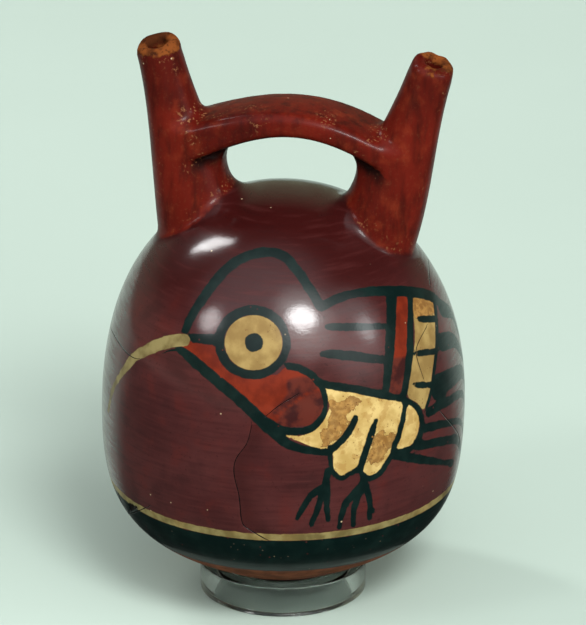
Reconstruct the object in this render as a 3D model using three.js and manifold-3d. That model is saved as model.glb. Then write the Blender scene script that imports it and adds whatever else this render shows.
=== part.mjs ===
// Double-spout bottle of slip-painted pottery, with a strap bridge between its spouts,
// standing in a clear display ring that cradles its round bottom.
// Millimetres, +Z up. The origin is the middle of the ring's underside, X runs through both
// spouts and the painted front faces -Y.
// The pot was modelled and fired as one piece. It is parted here, with a hairline seam, where the
// spouts stand on the body and where the bridge meets the spouts.

import * as THREE from "three";
import { mergeVertices } from "three/addons/utils/BufferGeometryUtils.js";
import Module from "manifold-3d";

const wasm = await Module();
wasm.setup();

// Clear ring
const RING_OUTER_RADIUS = 26;
const RING_WALL = 5;
const RING_HEIGHT = 9.6;
const RING_CHAMFER = 0.5;
const RING_SIDES = 56;

// Body: a round-bottomed egg, widest a little below its middle
const BODY_RADIUS = 56.3;
const BODY_WIDEST_Z = 64.2;
const BODY_BOTTOM_Z = 4.2;
const BODY_TOP_Z = 132;
const BODY_WALL = 5;
const BODY_SIDES = 56;
const SEAT_RADIUS = RING_OUTER_RADIUS - RING_WALL;
const SEAT_GAP = 0.45;
const SEAT_SLOPE = THREE.MathUtils.degToRad(28);
const BOTTOM_ROUND = 9;
const BELLY_PULL = 30;
const BELLY_RISE = 39;
const SHOULDER_RISE = 47;
const DOME_SPREAD = 27.5;
const BOTTOM_ROWS = 4;
const BELLY_ROWS = 9;
const DOME_ROWS = 12;

// Spouts: leaning cones with worn, rounded mouths. Drops are measured down the axis from the mouth.
const MOUTH_RADIUS = 3.3;
const TIP_RADIUS = 7;
const TIP_DROP = 2.6;
const NECK_RADIUS = 8;
const NECK_DROP = 17;
const WAIST_RADIUS = 11.1;
const WAIST_DROP = 40;
const FOOT_RADIUS = 15;
const FOOT_DROP = 67;
const SPOUT_WALL = 4.4;
const RIM_FLAT = 0.8;
const SPOUT_SIDES = 28;
const SPOUT_ROWS = 9;
const RIM_ROWS = 3;
const SPOUTS = [
  { name: "left_spout", mouth: [-39, 178.6], lean: -13.5 },
  { name: "right_spout", mouth: [46.4, 176.6], lean: 18 },
];

// Strap bridge: an arched flat band between the spouts
const STRAP_WIDTH = 23;
const STRAP_END_WIDTH = 18.5;
const STRAP_THICKNESS = 5.8;
const STRAP_END_THICKNESS = 9.5;
const STRAP_CORNER = 2.5;
const STRAP_STEPS = 20;
const STRAP_ARCH = [[-34, 149.6], [-16, 154.4], [1, 156], [17, 153.5], [40, 142]];

// Seam between the parted pieces of the pot
const SEAM = 0.3;

const clay = new THREE.MeshStandardMaterial({ color: 0x5a2622, roughness: 0.35, metalness: 0 });
const acrylic = new THREE.MeshStandardMaterial({
  color: 0xe6eeea, roughness: 0.05, metalness: 0, transparent: true, opacity: 0.35,
});

// A closed geometry as a solid that can be joined and cut
function solidOf(geometry) {
  const bare = geometry.clone();
  bare.deleteAttribute("normal");
  bare.deleteAttribute("uv");
  const merged = mergeVertices(bare, 1e-4);
  return new wasm.Manifold(new wasm.Mesh({
    numProp: 3,
    vertProperties: new Float32Array(merged.attributes.position.array),
    triVerts: new Uint32Array(merged.index.array),
  }));
}

// A solid back as a geometry with shared vertices
function geometryOf(solid) {
  const mesh = solid.getMesh();
  const geometry = new THREE.BufferGeometry();
  geometry.setAttribute("position", new THREE.BufferAttribute(new Float32Array(mesh.vertProperties), 3));
  geometry.setIndex(new THREE.BufferAttribute(new Uint32Array(mesh.triVerts), 1));
  geometry.computeVertexNormals();
  return geometry;
}

// Turns a profile of (radius, height) points round the Z axis
function turned(points, sides) {
  return new THREE.LatheGeometry(points, sides).rotateX(Math.PI / 2);
}

function bezier(...pairs) {
  return new THREE.CubicBezierCurve(...pairs.map(([r, z]) => new THREE.Vector2(r, z)));
}

// Outer profile of the body from its bottom to its top
function bodyProfile() {
  const seatZ = RING_HEIGHT + SEAT_GAP;
  const along = (length) => [
    SEAT_RADIUS + length * Math.cos(SEAT_SLOPE),
    seatZ + length * Math.sin(SEAT_SLOPE),
  ];
  const bottom = bezier([0, BODY_BOTTOM_Z], [BOTTOM_ROUND, BODY_BOTTOM_Z], along(-BOTTOM_ROUND), along(0));
  const belly = bezier(along(0), along(BELLY_PULL),
    [BODY_RADIUS, BODY_WIDEST_Z - BELLY_RISE], [BODY_RADIUS, BODY_WIDEST_Z]);
  const dome = bezier([BODY_RADIUS, BODY_WIDEST_Z], [BODY_RADIUS, BODY_WIDEST_Z + SHOULDER_RISE],
    [DOME_SPREAD, BODY_TOP_Z], [0, BODY_TOP_Z]);
  return [...bottom.getSpacedPoints(BOTTOM_ROWS), ...belly.getSpacedPoints(BELLY_ROWS).slice(1),
    ...dome.getSpacedPoints(DOME_ROWS).slice(1)];
}

// A profile that starts and ends on the axis, moved in by a distance, or out where that is negative
function moved(profile, inward) {
  const last = profile.length - 1;
  return profile.map((point, i) => {
    if (i === 0) return new THREE.Vector2(0, point.y + inward);
    if (i === last) return new THREE.Vector2(0, point.y - inward);
    const along = profile[i + 1].clone().sub(profile[i - 1]).normalize();
    return point.clone().add(new THREE.Vector2(-along.y, along.x).multiplyScalar(inward));
  });
}

// Inner profile of the body, with every second point left out
function chamberProfile(outer) {
  const inner = moved(outer, BODY_WALL);
  return inner.filter((_, i) => i % 2 === 0 || i === inner.length - 1);
}

// Outer profile of a spout, from its buried foot up to the rounded mouth, with the mouth at height 0
function spoutProfile() {
  const flank = new THREE.SplineCurve([
    new THREE.Vector2(FOOT_RADIUS, -FOOT_DROP),
    new THREE.Vector2(WAIST_RADIUS, -WAIST_DROP),
    new THREE.Vector2(NECK_RADIUS, -NECK_DROP),
    new THREE.Vector2(TIP_RADIUS, -TIP_DROP),
  ]);
  const rim = new THREE.QuadraticBezierCurve(new THREE.Vector2(TIP_RADIUS, -TIP_DROP),
    new THREE.Vector2(TIP_RADIUS - RIM_FLAT / 2, 0), new THREE.Vector2(MOUTH_RADIUS + RIM_FLAT, 0));
  return [new THREE.Vector2(0, -FOOT_DROP), ...flank.getSpacedPoints(SPOUT_ROWS),
    ...rim.getPoints(RIM_ROWS).slice(1), new THREE.Vector2(0, 0)];
}

// Bore of a spout: a cone from inside the chamber up to the mouth, and on past it
function boreProfile() {
  return [
    new THREE.Vector2(0, -FOOT_DROP),
    new THREE.Vector2(FOOT_RADIUS - SPOUT_WALL, -FOOT_DROP),
    new THREE.Vector2(MOUTH_RADIUS, -TIP_DROP),
    new THREE.Vector2(MOUTH_RADIUS, TIP_DROP),
    new THREE.Vector2(0, TIP_DROP),
  ];
}

// Places a piece turned on its own axis at one spout's mouth, leaning as that spout does
function atSpout(geometry, spout) {
  const [x, z] = spout.mouth;
  return geometry.rotateY(THREE.MathUtils.degToRad(spout.lean)).translate(x, 0, z);
}

// The strap: a rounded section drawn out along X, then arched, narrowed and thickened to its ends
function strap() {
  const w = STRAP_WIDTH / 2;
  const t = STRAP_THICKNESS / 2;
  const section = new THREE.Shape()
    .moveTo(-w + STRAP_CORNER, -t)
    .lineTo(w - STRAP_CORNER, -t)
    .quadraticCurveTo(w, -t, w, -t + STRAP_CORNER)
    .lineTo(w, t - STRAP_CORNER)
    .quadraticCurveTo(w, t, w - STRAP_CORNER, t)
    .lineTo(-w + STRAP_CORNER, t)
    .quadraticCurveTo(-w, t, -w, t - STRAP_CORNER)
    .lineTo(-w, -t + STRAP_CORNER)
    .quadraticCurveTo(-w, -t, -w + STRAP_CORNER, -t);
  const band = new THREE.ExtrudeGeometry(section, {
    depth: 1, steps: STRAP_STEPS, curveSegments: 3, bevelEnabled: false,
  });
  const arch = new THREE.SplineCurve(STRAP_ARCH.map(([x, z]) => new THREE.Vector2(x, z)));
  const place = band.attributes.position;
  for (let i = 0; i < place.count; i++) {
    const share = place.getZ(i);
    const end = Math.abs(2 * share - 1) ** 4;
    const middle = arch.getPoint(share);
    const across = place.getX(i) * THREE.MathUtils.lerp(1, STRAP_END_WIDTH / STRAP_WIDTH, end);
    const up = place.getY(i) * THREE.MathUtils.lerp(1, STRAP_END_THICKNESS / STRAP_THICKNESS, end);
    place.setXYZ(i, middle.x, across, middle.y + up);
  }
  return band;
}

function named(name, solid, material) {
  const mesh = new THREE.Mesh(geometryOf(solid), material);
  mesh.name = name;
  return mesh;
}

// The largest of a solid's separate bodies
function largest(solid) {
  return solid.decompose().reduce((most, body) => (body.volume() > most.volume() ? body : most));
}

// The pot's pieces: a hollow body, a bored spout at each side and the bridge between them
function potPieces() {
  const outer = bodyProfile();
  const flank = spoutProfile();
  const bodyRoom = solidOf(turned(moved(outer, -SEAM), BODY_SIDES));
  let body = solidOf(turned(outer, BODY_SIDES))
    .subtract(solidOf(turned(chamberProfile(outer), BODY_SIDES / 2)));
  let bridge = solidOf(strap());
  const spouts = [];
  for (const spout of SPOUTS) {
    const bore = solidOf(atSpout(turned(boreProfile(), SPOUT_SIDES), spout));
    const tube = solidOf(atSpout(turned(flank, SPOUT_SIDES), spout)).subtract(bore);
    const spoutRoom = solidOf(atSpout(turned(moved(flank, -SEAM), SPOUT_SIDES), spout));
    spouts.push(named(spout.name, tube.subtract(bodyRoom), clay));
    body = body.subtract(bore);
    bridge = bridge.subtract(spoutRoom);
  }
  return [named("body", body, clay), ...spouts, named("bridge", largest(bridge), clay)];
}

function standRing() {
  const outer = RING_OUTER_RADIUS;
  const inner = RING_OUTER_RADIUS - RING_WALL;
  const c = RING_CHAMFER;
  const corners = [[inner + c, 0], [outer - c, 0], [outer, c], [outer, RING_HEIGHT - c],
    [outer - c, RING_HEIGHT], [inner + c, RING_HEIGHT], [inner, RING_HEIGHT - c], [inner, c], [inner + c, 0]];
  const geometry = turned(corners.map(([r, z]) => new THREE.Vector2(r, z)), RING_SIDES);
  return named("stand_ring", solidOf(geometry), acrylic);
}

const object = new THREE.Group();
object.add(...potPieces(), standRing());

export default object;
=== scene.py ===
# Looks of the double-spout bottle: burnished slip-painted pottery standing in a clear display ring.
# Lengths are in millimetres until a mesh is made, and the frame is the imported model's own.
import math
import bpy
import numpy as np
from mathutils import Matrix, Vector


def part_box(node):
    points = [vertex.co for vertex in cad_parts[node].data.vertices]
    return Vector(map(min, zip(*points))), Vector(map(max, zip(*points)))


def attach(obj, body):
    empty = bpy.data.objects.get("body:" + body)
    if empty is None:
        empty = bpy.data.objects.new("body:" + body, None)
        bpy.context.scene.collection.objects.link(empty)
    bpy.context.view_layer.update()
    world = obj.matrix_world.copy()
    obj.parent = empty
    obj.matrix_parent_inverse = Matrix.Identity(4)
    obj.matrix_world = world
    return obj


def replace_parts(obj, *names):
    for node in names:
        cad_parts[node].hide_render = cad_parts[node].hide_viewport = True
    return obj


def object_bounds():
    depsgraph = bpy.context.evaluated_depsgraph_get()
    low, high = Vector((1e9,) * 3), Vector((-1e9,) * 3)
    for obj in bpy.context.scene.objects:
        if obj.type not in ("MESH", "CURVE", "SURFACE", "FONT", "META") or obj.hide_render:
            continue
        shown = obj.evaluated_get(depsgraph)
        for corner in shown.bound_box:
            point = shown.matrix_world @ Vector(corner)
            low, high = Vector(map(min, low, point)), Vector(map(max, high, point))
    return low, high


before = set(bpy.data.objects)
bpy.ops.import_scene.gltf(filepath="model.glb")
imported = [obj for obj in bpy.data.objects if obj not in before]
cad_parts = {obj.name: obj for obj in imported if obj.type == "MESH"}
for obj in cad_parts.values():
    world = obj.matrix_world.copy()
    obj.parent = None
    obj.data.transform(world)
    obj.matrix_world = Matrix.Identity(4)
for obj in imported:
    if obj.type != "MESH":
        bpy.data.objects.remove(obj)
cad_low, cad_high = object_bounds()

MM = 0.001

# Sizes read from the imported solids
BODY_LOW, BODY_HIGH = [np.array(corner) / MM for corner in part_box("body")]
RING_HIGH = np.array(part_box("stand_ring")[1]) / MM
BODY_RADIUS = BODY_HIGH[0]
BODY_BOTTOM_Z = BODY_LOW[2]
BODY_TOP_Z = BODY_HIGH[2]
RING_RADIUS = RING_HIGH[0]
RING_HEIGHT = RING_HIGH[2]

# Body profile, as in the solid
RING_WALL = 5
SEAT_GAP = 0.45
SEAT_SLOPE = math.radians(28)
BOTTOM_ROUND = 9
BELLY_PULL = 30
BELLY_RISE = 39
BODY_WIDEST_Z = 64.2
SHOULDER_RISE = 47
DOME_SPREAD = 27.5
BODY_WALL = 5
PROFILE_STEPS = 90

# Spouts: radius at a drop measured down the axis from the mouth, which is worn lower at the front. The bare
# clay reaches down from the rim, by less towards -X where it has a slant.
SPOUT_DROPS = [2.6, 17, 40, 67]
SPOUTS = [
    {"mouth": (-39.1, 178.0), "lean": math.radians(-13.5), "tilt": math.radians(12),
     "radii": [7, 7.6, 10.8, 15], "hole": 3.3, "bare": -1.2, "slant": 0},
    {"mouth": (46.9, 177.1), "lean": math.radians(17.5), "tilt": math.radians(11),
     "radii": [7, 8, 10.7, 12.4], "hole": 2.7, "bare": -2.6, "slant": 0.45},
]
SPOUT_END = 69
BORE_TAPER = 0.113
BORE_STRAIGHT = 2.6
BORE_BLIND_END = 22
RIM_ROUND = 3.0
MOUTH_ROUND = 1.5

# Strap bridge: the heights of its crown and its underside along X, and its width at the middle and ends
STRAP_CROWN_LINE = [(-31, 153.2), (-19.3, 157.2), (-9, 159.6), (3, 160.7), (14.3, 159.6), (21.6, 157.1),
    (36, 150.4)]
STRAP_UNDER_LINE = [(-31, 140.3), (-17, 147.3), (-8.2, 151.3), (3, 153.2), (14, 151.4), (24.8, 147.6),
    (36, 140.5)]
STRAP_FIRST_X = STRAP_CROWN_LINE[0][0]
STRAP_LAST_X = STRAP_CROWN_LINE[-1][0]
STRAP_WIDTH = 23.4
STRAP_END_WIDTH = 20
STRAP_CROWN = 1.0
STRAP_CORNER = 2.4
STRAP_CURVE_DEGREE = 4

# Soft joins between the worked clay parts. Under the bridge they are wide, but tight along its edges.
STRAP_FILLET_ABOVE = 3.6
STRAP_FILLET_BELOW = 12
STRAP_FILLET_EDGE = 1.0
STRAP_EDGE_Y = 9
STRAP_EDGE_FADE = 4
STRAP_UNDER_X = (-29, 34)
STRAP_UNDER_FADE = 6
FOOT_FILLET = 2.4
INNER_FOOT_FILLET = 6.5
INNER_FOOT_X = (-26, 30)
INNER_FOOT_FADE = 8

# Hand-made unevenness and worn mouths
UNEVEN_HEIGHT = 0.22
UNEVEN_SIZE = 46
UNEVEN_FROM_Z = 18
UNEVEN_FADE = 16
UNEVEN_SEED = 3
WAVES = 12
WEAR_HEIGHT = 0.22
WEAR_SIZE = 5
WEAR_REACH = 7
WEAR_EVERYWHERE = 0.6
WEAR_SEED = 40

# Mesh steps, and how the net's points are evened out
SKIN_STEP = 1.06
HOLLOW_STEP = 2.6
HOLLOW_BORE_INSET = 0.5
HOLLOW_OVERLAP = 2
TABLE_STEP = 0.5
TABLE_MARGIN = 12
SLOPE_STEP = 0.15
SKIN_ROUNDS = 3
HOLLOW_ROUNDS = 1
EVENING = 0.6
RING_EASE = 0.4
RING_EASE_STEPS = 6
RING_SIDES = 192

# The photograph's camera, worked out from the outline
PHOTO_SIZE = (586, 625)
PHOTO_AXIS_X = 283
FOCAL_PIXELS = 6000
PIXELS_PER_UNIT = 181.5
UNIT = 56
PIXEL = UNIT / PIXELS_PER_UNIT
CAMERA_AZIMUTH = math.radians(11)
CAMERA_ELEVATION = math.radians(22)
CAMERA_TARGET_Z = 91.4
CAMERA_DISTANCE = FOCAL_PIXELS * PIXEL
SENSOR_WIDTH = 36
CAMERA_CLIP_END = 20
SIGHT_STEPS = 60

# Painted bands, by height
CREAM_LINE_Z = 39.5
CREAM_LINE_HALF = 1.22
BLACK_BAND_LOW = 24.4

# Brush strokes of the bird, as photograph pixels. A third number is the width there.
BLACK_STROKES = {
    "head": [(185, 331, 8), (194, 312, 9), (206, 294, 10), (220, 276, 10), (234, 263, 10), (250, 255, 10),
        (266, 252, 10), (281, 255, 10), (292, 264, 10), (306, 283, 10), (321, 307, 10)],
    "wing top": [(321, 307, 10), (340, 297.5, 9), (358, 293, 9), (380, 291, 10), (405, 291.5, 11),
        (420, 293, 11), (432, 297, 9), (437, 302, 6)],
    "upper feather": [(327, 327, 5), (336, 327, 8), (360, 327, 7.5), (386, 326, 6)],
    "lower feather": [(322, 354, 6), (332, 354, 9), (352, 356, 10), (386, 360, 8)],
    "eye bar": [(186, 338, 9), (204, 339, 10), (219, 340, 11)],
    "throat": [(176, 348, 4), (182, 351, 8), (195, 362, 11), (215, 379, 11.5), (233, 394, 11.5),
        (252, 411, 12), (262, 421, 13), (279, 437, 11), (290, 445, 9), (310, 450.5, 8), (328, 452.5, 7)],
    "breast lobe": [(288, 366, 7), (298, 368, 7.5), (310, 374, 7.5), (320, 384, 6.5), (325, 398, 5.5),
        (325, 410, 5.5), (320, 420, 6.5), (310, 429, 7.5), (294, 431.5, 8), (280, 429, 8), (268, 422, 8)],
    "wing foot": [(318, 382, 8), (327, 385, 8), (356, 389.3, 8.5), (383, 395, 8), (404, 399.3, 6.5)],
    "rear lobe": [(406, 400, 6), (416, 406, 5.5), (421, 415.5, 5.5), (422, 426, 5.5), (419, 437, 5.5),
        (413, 447, 5.5), (403, 451, 5.5), (395.5, 452, 6)],
    "belly edge": [(405.5, 400, 5), (403.3, 417, 5), (399, 434.5, 5.5), (393.5, 448, 6)],
    "first belly stroke": [(355.6, 418, 6.5), (351, 428, 7), (343.3, 439, 7), (331, 450, 7)],
    "second belly stroke": [(376, 420, 4), (372, 432, 6.5), (366.7, 448, 7), (361, 466, 7),
        (360, 470, 7)],
    "first wing bar": [(391.5, 296, 10.5), (391, 326, 10), (389.5, 350, 9.5), (387.5, 375, 8),
        (386, 391, 7.5)],
    "second wing bar": [(410.3, 297, 5.5), (410.3, 326, 6.5), (410, 348, 7), (407.8, 370, 6.5),
        (404.5, 393, 6.5), (403, 400, 6)],
    "left thigh": [(330, 448, 6), (330.5, 461, 5), (333, 472, 5), (341, 478, 5.5), (349, 474.5, 5),
        (358, 469, 6)],
    "right thigh": [(361, 473, 6), (369, 478, 5.5), (379, 474, 5.5), (388, 461.5, 5), (394.5, 449, 5)],
    "left leg": [(328, 471, 7), (325, 486, 7)],
    "left outer toe": [(325, 486, 7), (311, 496, 7), (297, 518, 5)],
    "left middle toe": [(323, 490, 7), (318, 508, 6), (311, 525, 5)],
    "left inner toe": [(328, 484, 6), (327, 505, 6), (328, 520, 5)],
    "right leg": [(364, 476, 7), (362, 488, 7)],
    "right outer toe": [(360, 487, 7), (345, 505, 7), (339, 527, 5)],
    "right middle toe": [(361, 489, 7), (354, 508, 6), (353, 525, 5)],
    "right inner toe": [(366, 486, 7), (370, 503, 6), (369, 518, 5)],
    "right spur": [(370, 505, 4), (374, 511, 4)],
    "first bar dash": [(418.5, 318.5, 4), (423, 319, 7), (435, 319, 7)],
    "second bar dash": [(415, 354, 4), (421, 353, 6.5), (436, 351, 6.5)],
    "third bar dash": [(414.5, 384.5, 4), (420, 385, 6.5), (432, 385, 6.5)],
}
BEAK = [(184, 340, 12.5), (173.7, 341, 12.7), (159, 344.5, 12.2), (145.5, 351, 11), (134.8, 357, 8.8),
    (125.4, 368.6, 6), (117.4, 380, 4), (112, 392, 2.8), (109.4, 404, 2), (108.7, 412, 1.6)]
EYE_DISC = {"centre": (253.5, 342.7), "half": (29.1, 27.7)}
EYE_RING = {"centre": (252.7, 342.2), "half": (38, 37.2)}
PUPIL = {"centre": (254, 342.5), "half": (9.4, 9.4)}

# Patches of paint, as photograph pixels round their outlines
RED_PATCHES = {
    "throat": [(183, 343), (214, 343), (240, 365), (273, 375), (287, 367), (309, 371), (322, 387),
        (326, 406), (317, 423), (292, 427), (275, 427), (261, 419), (234, 398), (207, 378), (187, 358)],
    "wing bar": [(396, 299), (410, 299), (409, 337), (406, 368), (402, 396), (389, 393), (392, 365),
        (394, 337)],
}
SHADED_PATCHES = {
    "breast smear": [(269, 415), (279, 405), (287, 394), (287, 381), (299, 377), (313, 378), (320, 388),
        (306, 393), (293, 402), (279, 413)],
    "breast lobe": [(282, 414), (294, 404), (310, 394), (324, 392), (326, 408), (318, 424), (296, 429),
        (276, 428)],
    "wing bar foot": [(391, 361), (408, 361), (402, 396), (389, 393)],
}
CREAM_PATCHES = {
    "belly": [(325, 388), (342, 390), (368, 394), (403, 400), (398, 446), (391, 455), (383, 470),
        (371, 477), (364, 473), (360, 467), (356, 470), (339, 478), (333, 473), (332, 453), (318, 449),
        (302, 443), (280, 433), (299, 436), (316, 429), (325, 418), (329, 405)],
    "rear lobe": [(407, 404), (414.5, 408.5), (419.5, 418), (419, 429), (415, 441), (406, 448.5),
        (396, 450.5), (401, 434), (404.5, 420)],
    "wing bar": [(412.7, 298), (432, 299), (434.5, 314), (435.5, 337), (434.5, 354.5), (432, 374.5),
        (430, 390), (424.5, 409), (417, 403), (407, 395), (411, 370), (414.4, 348), (414.4, 325.5)],
}
PALE_PATCHES = ("belly", "rear lobe")
THIN_LINES = {
    "wing bar edge": [(434, 299, 3), (436, 314, 3), (437, 337, 3), (436, 354.5, 3), (433.5, 374.5, 3),
        (431.5, 390, 3), (426, 409, 3)],
    "under the beak": [(181, 350, 3), (174, 350, 2.4), (166, 351.5, 1.2)],
}

# Tail stripes: photograph pixels from the wing out, then an angle and height round the side. The last
# number is the width in millimetres there.
TAIL_STRIPES = [
    {"seen": [(442, 308, 6), (452, 314, 4.2)], "beyond": (99, 86, 3)},
    {"seen": [(442, 342, 6), (455, 341, 4.6)], "beyond": (100, 75.5, 2.6)},
    {"seen": [(438, 387, 8.5), (450, 379, 6.5), (462, 372, 4.2)], "beyond": (99, 65, 2.4)},
    {"seen": [(428, 412, 3.4), (446, 402, 3.2), (462, 394, 2.4)], "beyond": (98, 57.5, 1.6)},
    {"seen": [(425, 428, 3.2), (443, 424, 2.6), (460, 422, 2)], "beyond": (97, 49.5, 1.4)},
    {"seen": [(416, 446, 3), (438, 442, 3), (457, 440, 3)], "beyond": (95, 43.8, 1.6)},
    {"seen": [(395, 455, 3), (420, 459, 3), (452, 463, 2.6)], "beyond": None},
]

# Cracks and losses, as photograph pixels
CRACKS = {
    "left shoulder": [(110, 326, 1), (115, 336, 1.2), (124, 350, 1.2), (132, 357, 1), (138, 359, 0.8)],
    "join": [(252, 424, 0.8), (247, 443, 0.9), (236, 459, 1.1), (234, 474, 1.2), (239, 496, 1.2),
        (242, 522, 1.4), (250, 530, 1.4), (267, 540, 1.2)],
    "left band": [(118, 492, 1), (127, 513, 1.4), (148, 507, 1.2)],
    "right belly": [(441, 412, 1), (458, 434, 1.2), (458, 450, 1)],
    "right shoulder": [(428, 258, 1.2), (430, 285, 1)],
    "wing bar": [(427, 326, 0.6), (417, 346, 0.8), (417, 358, 0.8), (424, 380, 0.6)],
    "throat": [(266, 416, 0.8), (280, 405, 0.9), (298, 394, 0.8)],
}
STEP_HEIGHT = 0.16
STEP_EDGE = 2
CHIP = {"centre": (131.5, 507.6), "half": (5, 6), "depth": 0.5}
CHIP_EDGE = [(128.5, 502.5), (133, 504.5), (138, 508), (133, 511), (126.5, 514), (130, 508)]
STAINS = {
    "belly top": [(331, 403), (343, 399), (357, 398), (360, 404), (350, 412), (348, 425), (339, 439),
        (323, 445), (321, 434), (328, 423)],
    "belly rear": [(377, 434), (395, 433), (394, 445), (383, 459), (371, 465), (369, 448)],
    "wing bar top": [(412, 297), (434, 299), (436, 314), (414, 316)],
}

# Reach of the paint fields, of the painted shade and dirt in hollows, and of the painted shadow and grime
# under the bridge
FAR = 14.0
SPOUT_PAINT_EDGE = 0.6
CAVITY_REACH = 3.5
BRIDGE_SHADOW_RISE = -0.95
BRIDGE_SHADOW_REACH = 7
BRIDGE_SHADOW_X = (-29, 36)
BRIDGE_SHADOW_FADE = 5
DULL_EDGE = 3
NOISE_STEPS = (37.1, 17.3, 53.7)

# Lamps, and the floor with a black card that only shows in reflections, as a painted dark reflection
LIGHTS = {
    "key": {"azimuth": 29, "elevation": 44, "wide": 19, "tall": 14, "power": 26},
    "back": {"azimuth": -118, "elevation": 47, "wide": 7, "tall": 24, "power": 10},
}
LIGHT_DISTANCE = 2000
FLOOR_RADIUS = 3000
FLOOR_DROP = 0.1
FLOOR_SIDES = 96
FLOOR_COLOURS = ((180, 197, 186), (185, 202, 191))
CARD_FROM = 45
CARD_WIDE = 1500
CARD_TURNS = (-128, 136)
CARD_FADE = 26
CARD_SIDES = 48
CARD_COLOURS = ((188, 204, 194), (60, 64, 62))

# Surroundings: a dim room with a low pale backdrop, and soft lamps that fade from full to an edge.
# Turns and angles are in degrees.
ROOM = (0.03, 0.033, 0.031, 1)
BACKDROP = (0.17, 0.18, 0.14, 1)
BACKDROP_TOP = 0.3
BACKDROP_FADE = 0.12
GLOWS = [
    {"azimuth": -8, "elevation": 54, "edge": 54, "full": 12, "shine": (1.05, 1.05, 1.1)},
    {"azimuth": 180, "elevation": 16, "edge": 36, "full": 10, "shine": (0.27, 0.28, 0.19)},
    {"azimuth": 66, "elevation": 28, "edge": 30, "full": 6, "shine": (2, 2, 2)},
    {"azimuth": 79, "elevation": 26, "edge": 8, "full": 2, "shine": (8.5, 9, 9)},
    {"azimuth": 31, "elevation": 42, "edge": 26, "full": 8, "shine": (4.5, 4.6, 4.5)},
    {"azimuth": -46, "elevation": 32, "edge": 9, "full": 2, "shine": (13, 13, 13)},
]


def direction(azimuth, elevation):
    """Unit vector from the object towards a viewer or light at that azimuth and elevation."""
    flat = math.cos(elevation)
    return np.array([math.sin(azimuth) * flat, -math.cos(azimuth) * flat, math.sin(elevation)])


BACK = direction(CAMERA_AZIMUTH, CAMERA_ELEVATION)
RIGHT = np.array([math.cos(CAMERA_AZIMUTH), math.sin(CAMERA_AZIMUTH), 0])
UP = np.cross(BACK, RIGHT)
TARGET = np.array([0, 0, CAMERA_TARGET_Z]) + RIGHT * (PHOTO_SIZE[0] / 2 - PHOTO_AXIS_X) * PIXEL
EYE = TARGET + BACK * CAMERA_DISTANCE


def pixels_of(points):
    """Where points show in the photograph."""
    offset = points - EYE
    depth = -offset @ BACK
    across = PHOTO_SIZE[0] / 2 + FOCAL_PIXELS * (offset @ RIGHT) / depth
    down = PHOTO_SIZE[1] / 2 - FOCAL_PIXELS * (offset @ UP) / depth
    return np.stack([across, down], axis=1)


def bezier(corners, steps):
    """Points along a cubic curve with these four corners."""
    a, b, c, d = np.array(corners, float)
    t = np.linspace(0, 1, steps)[:, None]
    return a * (1 - t) ** 3 + 3 * b * t * (1 - t) ** 2 + 3 * c * t ** 2 * (1 - t) + d * t ** 3


def body_profile():
    """Outer (radius, height) points of the body from its bottom to its top."""
    def along(length):
        radius = RING_RADIUS - RING_WALL + length * math.cos(SEAT_SLOPE)
        return radius, RING_HEIGHT + SEAT_GAP + length * math.sin(SEAT_SLOPE)
    widest = (BODY_RADIUS, BODY_WIDEST_Z)
    bottom = [(0, BODY_BOTTOM_Z), (BOTTOM_ROUND, BODY_BOTTOM_Z), along(-BOTTOM_ROUND), along(0)]
    belly = [along(0), along(BELLY_PULL), (BODY_RADIUS, BODY_WIDEST_Z - BELLY_RISE), widest]
    shoulder = (BODY_RADIUS, BODY_WIDEST_Z + SHOULDER_RISE)
    dome = [widest, shoulder, (DOME_SPREAD, BODY_TOP_Z), (0, BODY_TOP_Z)]
    runs = [bezier(corners, PROFILE_STEPS) for corners in (bottom, belly, dome)]
    return np.vstack([runs[0][:-1], runs[1][:-1], runs[2]])


def along_runs(points, path):
    """For each run of a path: the run, the points' offsets, their shares along it and their distances."""
    for start, end in zip(path[:-1], path[1:]):
        run = end - start
        offset = points - start
        share = np.clip(offset @ run / max(run @ run, 1e-9), 0, 1)
        yield run, offset, share, np.linalg.norm(offset - share[..., None] * run, axis=-1)


PROFILE = body_profile()
TABLE_RADII = np.arange(0, BODY_RADIUS + TABLE_MARGIN, TABLE_STEP)
TABLE_HEIGHTS = np.arange(BODY_BOTTOM_Z - TABLE_MARGIN, BODY_TOP_Z + TABLE_MARGIN, TABLE_STEP)


def distance_table():
    """Signed distance from the profile at each (radius, height) of the table."""
    radius, height = np.meshgrid(TABLE_RADII, TABLE_HEIGHTS, indexing="ij")
    spots = np.stack([radius, height], axis=-1)
    gap = np.full(radius.shape, np.inf)
    for _, _, _, away in along_runs(spots, PROFILE):
        gap = np.minimum(gap, away)
    wall = np.interp(height, PROFILE[:, 1], PROFILE[:, 0], left=-1, right=-1)
    return np.where(radius < wall, -gap, gap)


TABLE = distance_table()


def body_distance(points):
    """Distance from the body's outside, read from the table."""
    radius = np.hypot(points[:, 0], points[:, 1]) / TABLE_STEP
    height = (points[:, 2] - TABLE_HEIGHTS[0]) / TABLE_STEP
    i = np.clip(radius.astype(int), 0, len(TABLE_RADII) - 2)
    j = np.clip(height.astype(int), 0, len(TABLE_HEIGHTS) - 2)
    u = radius - i
    v = height - j
    low = TABLE[i, j] * (1 - u) + TABLE[i + 1, j] * u
    high = TABLE[i, j + 1] * (1 - u) + TABLE[i + 1, j + 1] * u
    return low * (1 - v) + high * v


def smooth_min(first, second, reach):
    """The lesser of two distances, rounded where they meet."""
    overlap = np.maximum(reach - np.abs(first - second), 0) / reach
    return np.minimum(first, second) - overlap ** 2 * reach / 4


def smooth_max(first, second, reach):
    return -smooth_min(-first, -second, reach)


def between(x, ends, fade):
    """1 between two ends and 0 outside them, with a fade inside each end."""
    return np.clip(np.minimum(x - ends[0], ends[1] - x) / fade, 0, 1)


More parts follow.
